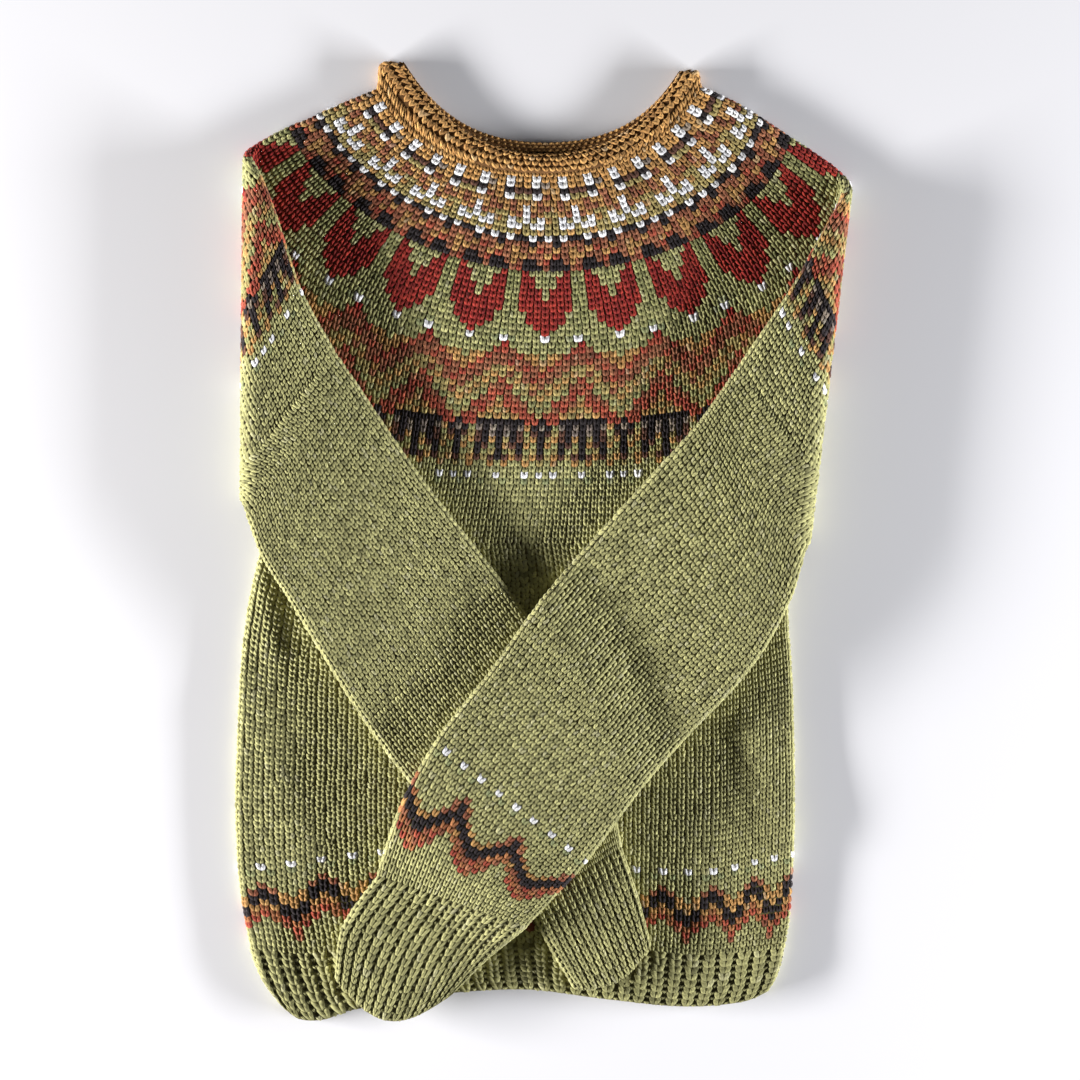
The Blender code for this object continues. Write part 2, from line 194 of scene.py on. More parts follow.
def half_row(edge, turn, pull, middle):
    drop = middle[1] - edge[1]
    toward = 1 if middle[0] > edge[0] else -1
    corner = np.array([edge[0] + toward * abs(drop) / math.tan(math.radians(turn)), middle[1]])
    t = np.linspace(0, 1, 90)[:, None]
    weights = (1 - t) ** 2, 2 * pull * t * (1 - t), t**2
    return (weights[0] * edge + weights[1] * corner + weights[2] * middle) / sum(weights)


def yoke_row(depth, back=False):
    rise = BACK_RISE * (1 - depth) if back else 0
    middle = lay((CENTRE_X, NECK_Y + (JOIN_Y - NECK_Y) * depth - rise))
    table = np.array(ROW_CURVE)
    turns, pulls = ([np.interp(depth, table[:, 0], table[:, k]) for k in pair] for pair in ((1, 2), (3, 4)))
    left = half_row(EDGE["left"].share(depth), turns[0], pulls[0], middle)
    right = half_row(EDGE["right"].share(depth), turns[1], pulls[1], middle)
    return Row(np.vstack([left, right[-2::-1]]))


def neck_row(up, back=False):
    seam = yoke_row(0, back)
    middle = lay((CENTRE_X, RIM_BACK_Y if back else RIM_FRONT_Y))
    left = half_row(lay(RIM_LEFT), RIM_TURN, 1.1, middle)
    right = half_row(lay(RIM_RIGHT), RIM_TURN, 1.1, middle)
    rim = Row(np.vstack([left, right[-2::-1]]))
    f = np.linspace(0, 1, 180)
    puff = np.exp(-f / TIP_REACH)[:, None] * np.array(TIP_LEFT)
    puff = puff + np.exp((f - 1) / TIP_REACH)[:, None] * np.array(TIP_RIGHT)
    return Row(seam.share(f) * (1 - up) + rim.share(f) * up + puff * math.sin(math.pi * up) ** 2)


JOIN = yoke_row(1)


def join_part(side, count=60):
    low, high = SLEEVE_TOP["left"], JOIN.length - SLEEVE_TOP["right"]
    if side == "left":
        return JOIN.at(np.linspace(0, low - SEAM, count))
    if side == "right":
        return JOIN.at(np.linspace(JOIN.length, high + SEAM, count))
    return JOIN.at(np.linspace(low + SEAM, high - SEAM, count))


def bend(points):
    f = np.linspace(0, 1, len(points))[:, None]
    return points - (points[0] * (1 - f) + points[-1] * f)


class Panel:
    def __init__(self, edge_a, edge_b, top, bottom=None, reach=0.5):
        self.a = smooth(edge_a, 200)
        self.b = smooth(edge_b, 200)
        middle = Row((self.a + self.b) / 2)
        self.length = middle.length
        self.v = middle.s / middle.length
        self.top = bend(top)
        self.bottom = bend(bottom) if bottom is not None else np.zeros_like(self.top)
        self.reach = reach

    def row(self, v):
        ends = [np.array([np.interp(v, self.v, e[:, k]) for k in range(2)]) for e in (self.a, self.b)]
        f = np.linspace(0, 1, 120)
        share = float(ease(v / self.reach))
        stray = 0
        for part, weight in ((self.top, 1 - share), (self.bottom, share)):
            g = np.linspace(0, 1, len(part))
            stray = stray + weight * np.stack([np.interp(f, g, part[:, k]) for k in range(2)], -1)
        return Row(ends[0] * (1 - f[:, None]) + ends[1] * f[:, None] + stray)


class Fold:
    def __init__(self, side):
        start, end = lay(FOLDS[side])
        along = (end - start) / np.linalg.norm(end - start)
        out = np.array([-along[1], along[0]])
        if (out[0] > 0) != (side == "right"):
            out = -out
        self.out = out
        self.start = start - out * FOLD_OUT
        self.height = PANEL + FOLD_IN
        self.turn = math.pi * FOLD_MID

    def distance(self, xy):
        return (xy - self.start) @ self.out

    def unfold(self, xy):
        xy = np.asarray(xy, float)
        s = self.distance(xy)
        return xy + (self.turn - 2 * s)[..., None] * self.out

    def apply(self, p):
        xy, z = p[..., :2], p[..., 2]
        s = self.distance(xy)
        phi = np.clip(s / FOLD_MID, 0, math.pi)
        radius = self.height - z
        over = np.maximum(s - self.turn, 0)
        moved = np.where(s > 0, radius * np.sin(phi) - over, s)
        lifted = np.where(s > 0, self.height - radius * np.cos(phi), z)
        flat = xy + (moved - s)[..., None] * self.out
        return np.concatenate([flat, lifted[..., None]], -1), over


FOLD = {side: Fold(side) for side in FOLDS}
LYING = {
    "left": lay(np.array(SLEEVE_LEFT + CUFF_LEFT[1:]).reshape(-1, 2, 2)),
    "right": lay(np.array(SLEEVE_RIGHT + CUFF_RIGHT[1:]).reshape(-1, 2, 2)),
}
LAID_OVER = {
    "left": np.concatenate([lay(np.array(OVER_LEFT).reshape(-1, 2, 2)), LYING["left"]]),
    "right": np.concatenate([lay(np.array(OVER_RIGHT).reshape(-1, 2, 2)), LYING["right"]]),
}


def beyond(xy, sections):
    """Distance outside a strip given by its sections, negative inside it."""
    a, b = sections[:, 0], sections[:, 1]
    middle = (a + b) / 2
    half = np.linalg.norm(a - b, axis=1) / 2
    best = np.full(xy.shape[:-1], 1e3)
    for i in range(len(middle) - 1):
        run = middle[i + 1] - middle[i]
        f = np.clip(((xy - middle[i]) @ run) / (run @ run), 0, 1)
        near = middle[i] + f[..., None] * run
        off = np.linalg.norm(xy - near, axis=-1) - (half[i] * (1 - f) + half[i + 1] * f)
        best = np.minimum(best, off)
    return best


# How far a folded sleeve sinks past its fold, and climbs where it lies on the other one
DOWN = 2 * FOLD_IN - REST
UP = PANEL + DOME + 2 * REST + PANEL - (PANEL + 2 * FOLD_IN)
CLIMB_START = 0.004
CLIMB_RUN = 0.03


def fold_over(p, side):
    q, over = FOLD[side].apply(p)
    settled = ease(over / SETTLE)
    if side == "right":
        on_top = (1 - ease((beyond(q[..., :2], LYING["left"]) - CLIMB_START) / SPREAD)) * (over > 0)
        change = -DOWN * settled * (1 - on_top) + UP * on_top * ease(over / CLIMB_RUN)
    else:
        change = -DOWN * settled
    q[..., 2] += change
    return q


def creased(p):
    z = p[..., 2].copy()
    for x0, y0, x1, y1, height, width in CREASES:
        a, b = lay((x0, y0)), lay((x1, y1))
        run = b - a
        f = ((p[..., :2] - a) @ run) / (run @ run)
        near = a + np.clip(f, 0, 1)[..., None] * run
        away = np.linalg.norm(p[..., :2] - near, axis=-1)
        z = z + height * np.exp(-((away / width) ** 2)) * ease((p[..., 2] - HALF) / 0.001)
    out = p.copy()
    out[..., 2] = z
    return out


# Surfaces: every piece is a flattened tube, found by c round it, v along it and h out from its middle
PAD = 0.05


class Surface:
    def __init__(self, fronts, backs, length, folds=(), swell=0.0, fade=False, after=None):
        self.f = np.linspace(-PAD, 1 + PAD, 241)
        self.grid = [np.array([r.share(self.f) for r in rows]) for rows in (fronts, backs)]
        self.lengths = [np.array([r.length for r in rows]) for rows in (fronts, backs)]
        self.length = length
        self.folds = folds
        self.swell = swell
        self.fade = fade
        self.after = after

    def flat(self, c, v, h):
        c = np.mod(c, 2)
        out = np.zeros(c.shape + (3,))
        for which, mask, sign in ((0, c < 1, 1), (1, c >= 1, -1)):
            if not mask.any():
                continue
            f = c[mask] if sign > 0 else 2 - c[mask]
            vv, hh = v[mask], h[mask]
            grid, lengths = self.grid[which], self.lengths[which]
            k = vv * (len(lengths) - 1)
            i = np.clip(np.floor(k), 0, len(lengths) - 2).astype(int)
            w = k - i
            long = lengths[i] * (1 - w) + lengths[i + 1] * w
            whole = long - 2 * HALF + 2 * ARC
            q = f * whole
            a = np.clip(q / HALF, 0, math.pi / 2)
            b = np.clip((whole - q) / HALF, 0, math.pi / 2)
            t = np.where(q < ARC, HALF - hh * np.cos(a), HALF + q - ARC)
            t = np.where(whole - q < ARC, long - HALF + hh * np.cos(b), t)
            z = hh * np.where(q < ARC, np.sin(a), np.where(whole - q < ARC, np.sin(b), 1))
            g = (t / long + PAD) / (1 + 2 * PAD) * (len(self.f) - 1)
            j = np.clip(np.floor(g), 0, len(self.f) - 2).astype(int)
            u = (g - j)[:, None]
            w = w[:, None]
            near = grid[i, j] * (1 - u) + grid[i, j + 1] * u
            far = grid[i + 1, j] * (1 - u) + grid[i + 1, j + 1] * u
            out[mask, :2] = near * (1 - w) + far * w
            rise = 0
            if self.swell and sign < 0:
                side = self.folds[0]
                past = FOLD[side].distance(out[mask, :2]) - FOLD[side].turn
                rise = self.swell * np.sin(math.pi * np.clip(f, 0, 1)) * ease(past / CLIMB_RUN)
                if self.fade:
                    rise = rise * (1 - np.clip(vv, 0, 1))
            out[mask, 2] = HALF + sign * z - rise
        return out

    def place(self, c, v, h):
        c, v, h = np.broadcast_arrays(np.asarray(c, float), np.asarray(v, float), np.asarray(h, float))
        shape = c.shape
        p = self.flat(c.ravel(), v.ravel(), h.ravel())
        if self.after is not None:
            p = self.after(p)
        for side in self.folds:
            over = FOLD[side].distance(p[:, :2]) > 0
            if over.any():
                p[over] = fold_over(p[over], side)
        return (p - np.array([BOX_MID[0], BOX_MID[1], 0])).reshape(shape + (3,))


def even(count=120):
    return np.linspace(0, 1, count)


def build_surfaces():
    made = {}
    depths = even(90)
    made["yoke"] = Surface([yoke_row(d) for d in depths], [yoke_row(d, True) for d in depths], 0.257,
                           ("left", "right"))
    ups = even(24)
    made["neck_roll"] = Surface([neck_row(u) for u in ups], [neck_row(u, True) for u in ups], 0.024)
    top = join_part("body")
    panel = Panel(np.vstack([top[:1], lay(BODY_LEFT)]), np.vstack([top[-1:], lay(BODY_RIGHT)]), top,
                  Row(smooth(lay(HEM_TOP))).share(even()), 0.9)
    rows = [panel.row(v) for v in even(90)]
    made["body"] = Surface(rows, rows, panel.length, after=creased)
    panel = Panel(lay(HEM_LEFT), lay(HEM_RIGHT), Row(smooth(lay(HEM_TOP))).share(even()),
                  Row(smooth(lay(HEM_EDGE))).share(even()), 1.0)
    rows = [panel.row(v) for v in even(40)]
    made["hem_rib"] = Surface(rows, rows, panel.length)
    for side, table, cuff in (("left", SLEEVE_LEFT, CUFF_LEFT), ("right", SLEEVE_RIGHT, CUFF_RIGHT)):
        flat = FOLD[side].unfold(lay(np.array(table).reshape(-1, 2, 2)))
        start = join_part(side)
        edges = np.vstack([start[:1], flat[:, 0]]), np.vstack([start[-1:], flat[:, 1]])
        panel = Panel(*edges, start, None, 0.22)
        rows = [panel.row(v) for v in even(110)]
        made["sleeve_" + side] = Surface(rows, rows, panel.length, (side,), DOME)
        ends = FOLD[side].unfold(lay(np.array(cuff).reshape(-1, 2, 2)))
        f = even(60)
        chord = ends[-1][1] - ends[-1][0]
        down = np.array([chord[1], -chord[0]]) / np.linalg.norm(chord)
        if down @ (ends[-1].mean(0) - ends[0].mean(0)) < 0:
            down = -down
        line = ends[-1][0] * (1 - f[:, None]) + ends[-1][1] * f[:, None]
        bow = line + (np.sin(math.pi * f) * CUFF_BOW[side])[:, None] * down
        panel = Panel(ends[:, 0], ends[:, 1], line, bow, 1.0)
        rows = [panel.row(v) for v in even(40)]
        made["cuff_" + side] = Surface(rows, rows, panel.length, (side,), DOME, True)
    return made


SURFACE = build_surfaces()

# Yarn colours as seen on the lit side of a strand: two shades each, mixed stitch by stitch
YARN = {
    "G": ((144, 141, 94), (170, 167, 114)),
    # H: a duller, darker green used only in the yoke, partly the yarn's own heather and partly painted shade
    # for the yoke's hollow between the sleeves
    "H": ((120, 120, 76), (158, 156, 102)),
    "B": ((132, 138, 98), (150, 152, 104)),
    "L": ((138, 124, 76), (170, 152, 96)),
    "O": ((152, 110, 62), (186, 144, 88)),
    "T": ((120, 66, 46), (158, 104, 74)),
    "P": ((136, 80, 48), (170, 114, 72)),
    "R": ((124, 28, 26), (156, 50, 38)),
    "S": ((140, 58, 44), (168, 84, 60)),
    "W": ((210, 210, 214), (234, 233, 234)),
    "K": ((26, 20, 22), (44, 36, 38)),
    "D": ((74, 46, 38), (100, 66, 50)),
    "Y": ((110, 98, 92), (140, 126, 110)),
    "M": ((162, 117, 65), (196, 150, 89)),
}


def linear(rgb):
    c = np.asarray(rgb, float) / 255
    return np.where(c <= 0.04045, c / 12.92, ((c + 0.055) / 1.055) ** 2.4)


INK = {k: (linear(a), linear(b)) for k, (a, b) in YARN.items()}
PALE = linear((206, 202, 176))
PALE_MIX = 0.2
PALE_SHARE = 0.95
DARK_SHARE = 0.06
DARK_GAIN = 0.7
GAIN_STRAY = 0.12
DULL_GREEN = 0.12

# Yoke charts: first row, stitches round, shift, and rows from the neck down
YOKE_CHARTS = (
    (0, 96, 3.9, ("WMMWMM", "WMMWYM", "KDDKOO", "WLLWTO")),
    (4, 140, 2.65, (
        "OOTOOTO",
        "WOTTOTO",
        "WTOLLOT",
        "WLWOLWL",
        "LWWLLWW",
        "LLOLLLO",
        "KWKWKWK",
        "TKTTKTT",
        "TOSTOTO",
        "OTTOSTO",
    )),
    (14, 180, 4.6, (
        "OTKKTSKKT",
        "TSKKKTKKK",
        "HHRGGHGGR",
        "HHRRGHGRR",
        "HHRRGGGRR",
        "HGRRRHRRR",
        "HHRRRGRRR",
        "HHRRRRRRR",
        "GHRRRRRRR",
        "HHGRRRRRG",
        "GHGRRRRRH",
        "HGGHRRRGG",
        "BGHGHRHGH",
        "WBGHGWGHB",
    )),
)


def chevron(row, col):
    """Ten stitches wide: a rust peak, gold under it, and a second, steeper peak in sienna."""
    d = abs((col + 5) % 10 - 5)
    first, second = 29 + d, 35 + 1.55 * d
    if abs(row - first) <= 1:
        return "R" if row == 28 and d == 0 else "TST"[(row * 2 + col * 5) % 3]
    if row < first:
        return "O" if d >= 3 and first - row <= 3 and row >= 30 else "GH"[(row + col) % 2]
    if abs(row - second) <= 1.7:
        return "SST"[(row + col * 2) % 3]
    if row < second:
        return "OTL"[(row + col) % 3] if row - first <= 3 else "HL"[(row + col) % 2]
    return "OL"[(row + col) % 2]


def comb(row, col):
    """Twelve stitches wide: a dark row, tall and forked dark columns, then white dots on plain green."""
    d = min(col, 12 - col)
    ground = "LHO"[(row * 2 + col * 5) % 3]
    rows = {
        41: ("S" if d in (4, 5) else "K"),
        42: ("K" if d in (0, 2, 5) else "Y" if d in (1, 3, 6) else ground),
        43: ("K" if d in (0, 2, 6) else "D" if d in (3, 5) else "Y" if d == 1 else ground),
        44: ("K" if d in (0, 2, 6) else "D" if d == 3 else ground),
        45: ("K" if d in (0, 3, 6) else "D" if d == 2 else ground),
        46: ("K" if d in (0, 3, 6) else ground),
        47: ("K" if d == 0 else "D" if d in (3, 6, 1) else ground),
        48: ("O" if d in (1, 4) else "L" if d == 6 else "G"),
        50: ("W" if d in (0, 4, 6) else "G"),
        51: "GBG"[col % 3],
    }
    return rows.get(row, "G")


def band(rise, period, peak, dots):
    """Colours of a lower band by row above the rib: dots, then rust, black and rust zigzags.

    The black line is rise rows high, period stitches wide and has its peaks at row peak."""
    def colour(row, col):
        if row == dots:
            return "W" if col % 3 == 0 else "G"
        d = abs((col + period / 2) % period - period / 2)
        line = peak - rise * d / (period / 2)
        off = row - line
        if abs(off) <= 1.05:
            return "K"
        if 0 < off <= 2.6:
            if d > period / 2 - 1.6 and off < 2.4:
                return "O"
            return "TPT"[(row + col) % 3] if off <= 2.2 else "G"
        if -3.8 <= off < 0:
            if d < 1.6 and off > -2.8:
                return "OP"[(row + col) % 2]
            return "SPT"[(row + 2 * col) % 3]
        return "B" if row == dots - 1 and col % 2 else "G"
    return colour


# Columns of the body spread a little to the left and crowd together by the right edge, and its rows
# tilt at the sides above the rib
COLUMN_SPREAD = 0.142
COLUMN_TURNS = (0, 0.811, 1.001, 2)
COLUMN_PLACES = (0, 0.842, 1, 2)
CROWDED = 0.80
ROW_TILT = (
    # distance along a row, drop in metres at the band
    (0.00, 0.0112),
    (0.06, 0.0060),
    (0.14, -0.0010),
    (0.26, -0.0050),
    (0.50, -0.0020),
    (0.72, 0.0),
    (0.86, -0.0050),
    (0.94, -0.0120),
    (1.00, -0.0150),
)
# How much of the tilt each place has, from the joining round down to the rib
TILT_AT = (0, 0.4, 0.86, 1)
TILT_SHARE = (0, 0.3, 1, 0)
BODY_STITCHES = 126
BODY_SHIFT = 3.9
BODY_REPEAT = 6
SLEEVE_STITCHES = 54
SLEEVE_REPEAT = 9
BODY_BAND = band(3.6, BODY_REPEAT, 9.3, 14)
SLEEVE_BAND = band(5.4, SLEEVE_REPEAT, 13.0, 19)
CHEVRON = ((28, 200, 4.6, chevron), (41, 240, 4.9, comb))


def chart_of(piece, row, rows):
    """(stitches round, shift, colour letter by column) for a row, counted from the neck down."""
    if piece == "yoke":
        for first, count, shift, chart in reversed(YOKE_CHARTS + CHEVRON):
            if row >= first:
                if callable(chart):
                    wide = count // 20
                    return count, shift, [chart(row, col) for col in range(wide)]
                return count, shift, list(chart[row - first])
    up = rows - 1 - row
    if piece == "body":
        return BODY_STITCHES, BODY_SHIFT, [BODY_BAND(up, col) for col in range(BODY_REPEAT)]
    return SLEEVE_STITCHES, 0, [SLEEVE_BAND(up, col) for col in range(SLEEVE_REPEAT)]


# Stitch shapes, in stitch widths across, rows along and metres above the wall
LEG_FOOT = 0.03
LEG_SPREAD = 0.40
LEG_START = -0.50
LEG_RISE = 1.62
LEG_WIDE = 0.225
LEG_HIGH = 0.00085
LEG_SLANT = 0.06
LEG_STEPS = (0, 0.25, 0.5, 0.75, 1)
LEG_LIFT = (-0.0005, 0.0005, 0.0007, 0.0002, -0.0008)
LEG_THICK = (0.82, 1, 1, 0.97, 0.72)
BUMP_HALF = 0.62
BUMP_FOOT = 0.26
BUMP_ARCH = 0.52
BUMP_WIDE = 0.32
BUMP_HIGH = 0.0011
BUMP_LIFT = 0.0009
BUMP_SINK = 0.0006


def strand_grid(rings, fine, turned=False):
    """Where the points of a strand lie along and across it, and its quads."""
    uv = np.zeros((rings, fine, 2))
    uv[..., 0] = np.linspace(0, 1, rings)[:, None]
    uv[..., 1] = np.linspace(0, 1, fine)[None]
    quads = []
    for i in range(rings - 1):
        for j in range(fine - 1):
            k = i * fine + j
            quads.append((k, k + fine, k + fine + 1, k + 1) if turned else (k, k + 1, k + fine + 1, k + fine))
    return uv.reshape(-1, 2), np.array(quads)


def leg(side, rings, spread, fine, bold):
    """One leg of a knit stitch: rises out of the stitch below and dips under the next one."""
    s = np.linspace(0, 1, rings)
    a = side * (LEG_FOOT + LEG_SPREAD * s**0.9)
    b = LEG_START + LEG_RISE * s
    lift = np.interp(s, LEG_STEPS, LEG_LIFT)
    thick = np.interp(s, LEG_STEPS, LEG_THICK)
    turns = np.radians(np.linspace(-spread, spread, fine))
    points = np.zeros((rings, fine, 3))
    points[..., 0] = a[:, None] + LEG_WIDE * bold * thick[:, None] * np.sin(turns)[None]
    points[..., 1] = b[:, None] - side * LEG_SLANT * thick[:, None] * np.sin(turns)[None]
    points[..., 2] = lift[:, None] + LEG_HIGH * bold * thick[:, None] * np.cos(turns)[None]
    return points.reshape(-1, 3), *strand_grid(rings, fine)


def both_legs(rings, spread, fine, bold=1.0):
    """A knit stitch: its points, uvs, quads and, for each point, which strand it is on."""
    parts = [leg(side, rings, spread, fine, bold) for side in (-1, 1)]
    n = len(parts[0][0])
    return (
        np.concatenate([p[0] for p in parts]),
        np.concatenate([p[1] for p in parts]),
        np.concatenate([parts[0][2], parts[1][2] + n]),
        np.repeat([0, 1], n),
    )


def bump(rings, fine):
    """A purl bump: a short arc of yarn across the stitch."""
    s = np.linspace(0, 1, rings)
    arc = np.sin(math.pi * s)
    a = -BUMP_HALF + 2 * BUMP_HALF * s
    b = BUMP_FOOT - BUMP_ARCH * arc
    lift = BUMP_LIFT * arc - BUMP_SINK
    thick = 0.55 + 0.45 * arc
    turns = np.radians(np.linspace(-85, 85, fine))
    points = np.zeros((rings, fine, 3))
    points[..., 0] = a[:, None]
    points[..., 1] = b[:, None] + BUMP_WIDE * thick[:, None] * np.sin(turns)[None]
    points[..., 2] = lift[:, None] + BUMP_HIGH * thick[:, None] * np.cos(turns)[None]
    return points.reshape(-1, 3), *strand_grid(rings, fine, True), np.zeros(rings * fine, int)


# Knit stitches seen close, the fuller ones of the dots, and plain ones where nothing shows
FINE = both_legs(5, 78, 4)
BOLD = both_legs(5, 78, 4, 1.22)
PLAIN = both_legs(3, 60, 2)
PURL = bump(5, 4)


def mixed(letters, parts):
    """A colour for every strand of every stitch: its yarn's two shades mixed, a little lighter or darker."""
    n = len(letters)
    out = np.zeros((n, parts, 3))
    tone = RNG.random((n, parts))
    gain = 1 + GAIN_STRAY * RNG.standard_normal((n, parts))
    fleck = RNG.random((n, parts))
    for letter, (one, two) in INK.items():
        mask = letters == letter
        out[mask] = one + (two - one) * tone[mask][..., None]
    gain = np.where(fleck < DARK_SHARE, gain * DARK_GAIN, gain)
    out = out * np.clip(gain, 0.5, 1.6)[..., None]
    pale = (fleck > PALE_SHARE)[..., None] & (out[..., 1:2] > DULL_GREEN)
    return np.clip(np.where(pale, out * (1 - PALE_MIX) + PALE * PALE_MIX, out), 0, 1)


def noise_between(tree, place, scale, detail, low, high):
    """Noise of one scale, spread out between two values; returns the output socket."""
    noise = tree.nodes.new("ShaderNodeTexNoise")
    noise.inputs["Scale"].default_value = scale
    noise.inputs["Detail"].default_value = detail
    spread = tree.nodes.new("ShaderNodeMapRange")
    for socket, value in (("From Min", 0.3), ("From Max", 0.7), ("To Min", low), ("To Max", high)):
        spread.inputs[socket].default_value = value
    tree.links.new(place.outputs["Object"], noise.inputs["Vector"])
    tree.links.new(noise.outputs["Fac"], spread.inputs["Value"])
    return spread.outputs["Result"]


def yarn_material(name, scale):
    """Wool: the stitches' colours, specks of the given scale, slow drifts, and plies wound on each strand."""
    m = bpy.data.materials.new(name)
    m.use_nodes = True
    tree = m.node_tree
    nodes, links = tree.nodes, tree.links
    shader = nodes["Principled BSDF"]
    colour = nodes.new("ShaderNodeVertexColor")
    colour.layer_name = "yarn"
    place = nodes.new("ShaderNodeTexCoord")
    product = nodes.new("ShaderNodeMath")
    product.operation = "MULTIPLY"
    tint = nodes.new("ShaderNodeVectorMath")
    tint.operation = "SCALE"
    links.new(noise_between(tree, place, scale, 2, 0.78, 1.22), product.inputs[0])
    links.new(noise_between(tree, place, 24, 1, 0.93, 1.07), product.inputs[1])
    links.new(colour.outputs["Color"], tint.inputs[0])
    links.new(product.outputs["Value"], tint.inputs["Scale"])
    links.new(tint.outputs["Vector"], shader.inputs["Base Color"])
    for socket, value in (
        ("Roughness", 0.92),
        ("Specular IOR Level", 0.15),
        ("Sheen Weight", 0.10),
        ("Sheen Roughness", 0.6),
    ):
        shader.inputs[socket].default_value = value
    # Plies: a wave along the strand, turned by how far across it a point is
    uv = nodes.new("ShaderNodeUVMap")
    uv.uv_map = "strand"
    split = nodes.new("ShaderNodeSeparateXYZ")
    turn = nodes.new("ShaderNodeMath")
    turn.operation = "MULTIPLY_ADD"
    turn.inputs[1].default_value = 15.0
    wave = nodes.new("ShaderNodeMath")
    wave.operation = "SINE"
    around = nodes.new("ShaderNodeMath")
    around.operation = "MULTIPLY"
    around.inputs[1].default_value = 4.5
    relief = nodes.new("ShaderNodeBump")
    relief.inputs["Strength"].default_value = 0.5
    relief.inputs["Distance"].default_value = 0.00025
    links.new(uv.outputs["UV"], split.inputs["Vector"])
    links.new(split.outputs["Y"], around.inputs[0])
    links.new(split.outputs["X"], turn.inputs[0])
    links.new(around.outputs["Value"], turn.inputs[2])
    links.new(turn.outputs["Value"], wave.inputs[0])
    links.new(wave.outputs["Value"], relief.inputs["Height"])
    links.new(relief.outputs["Normal"], shader.inputs["Normal"])
    return m


YARN_SKIN = yarn_material("wool_yarn", 1500)


def add_mesh(name, points, quads, colours, uvs):
    """One mesh of many like shapes: points (n, k, 3), quads of one shape, colours (n, k, 3), uvs (k, 2)."""
    n, k = points.shape[:2]
    mesh = bpy.data.meshes.new(name)
    faces = (quads[None] + (np.arange(n) * k)[:, None, None]).reshape(-1, 4)
    mesh.vertices.add(n * k)
    mesh.vertices.foreach_set("co", points.reshape(-1).astype(np.float32))
    mesh.loops.add(faces.size)
    mesh.loops.foreach_set("vertex_index", faces.reshape(-1).astype(np.int32))
    mesh.polygons.add(len(faces))
    mesh.polygons.foreach_set("loop_start", (np.arange(len(faces)) * 4).astype(np.int32))
    mesh.update(calc_edges=True)
    mesh.shade_smooth()
    layer = mesh.color_attributes.new("yarn", "FLOAT_COLOR", "POINT")
    rgba = np.ones((n * k, 4), np.float32)
    rgba[:, :3] = colours.reshape(-1, 3)
    layer.data.foreach_set("color", rgba.reshape(-1))
    strand = mesh.uv_layers.new(name="strand")
    spread = np.broadcast_to(uvs[None], (n,) + uvs.shape).reshape(-1, 2)[faces.reshape(-1)]
    strand.data.foreach_set("uv", spread.reshape(-1).astype(np.float32))
    mesh.materials.append(YARN_SKIN)
    o = bpy.data.objects.new(name, mesh)
    bpy.context.scene.collection.objects.link(o)
    return o


# Heights above the middle of a tube, and how far single stitches stray in size, place and height
BASE = 0.0030
WALL = 0.0034
RIB_WALL = 0.0032
SIZE_STRAY = 0.06
PLACE_STRAY = 0.035
LIFT_STRAY = 0.00009
LIFT_MOST = 0.0002
# Lowest points above the surface it lies on, of the walls and of the neck's yarn
WALL_CLEAR = 0.0002
NECK_CLEAR = 0.0003


def knit(surface, template, c, v, width, step, colours, base, limit=None, upward=False):
    """Points and colours of stitches at (c, v); width and step are a stitch's share of c and v."""
    shape, _, _, part = template
    n = len(c)
    size = 1 + SIZE_STRAY * RNG.standard_normal((n, 1))
    slip = PLACE_STRAY * RNG.standard_normal((n, 2, 1))
    lift = LIFT_STRAY * RNG.standard_normal((n, 1))
    cc = c[:, None] + (shape[None, :, 0] * size + slip[:, 0]) * width[:, None]
    vv = v[:, None] - (shape[None, :, 1] * size + slip[:, 1]) * step[:, None]
    hh = base[:, None] + shape[None, :, 2] + np.clip(lift, -LIFT_MOST, LIFT_MOST)
    if limit is not None:
        hh = np.minimum(hh, limit[:, None])
    if upward:
        vv = 1 - vv
    return surface.place(cc, vv, hh), colours[:, part]


OUTWARD = 0.001
SIDEWAYS = -0.0002


def facing(surface, c, v):
    """Whether the outside faces up, or nearly sideways, at each place, and the place."""
    low = surface.place(c, v, np.full(len(c), HALF))
    high = surface.place(c, v, np.full(len(c), HALF + OUTWARD))
    return (high - low)[:, 2] > SIDEWAYS, low


COVERED = -0.014
TOP_LAYER = 0.012


def hidden(piece, p):
    """Whether a sleeve covers this place of the body or yoke by more than a little."""
    xy = p[:, :2] + np.array(BOX_MID)
    inside = np.zeros(len(p), bool)
    if piece in ("body", "yoke", "hem_rib"):
        for side in ("left", "right"):
            inside |= (beyond(xy, LAID_OVER[side]) < COVERED) & (p[:, 2] < TOP_LAYER)
    if piece in ("sleeve_left", "cuff_left"):
        inside |= beyond(xy, LYING["right"]) < COVERED
    return inside


MAX_STITCHES = 4000
PIECES = {}


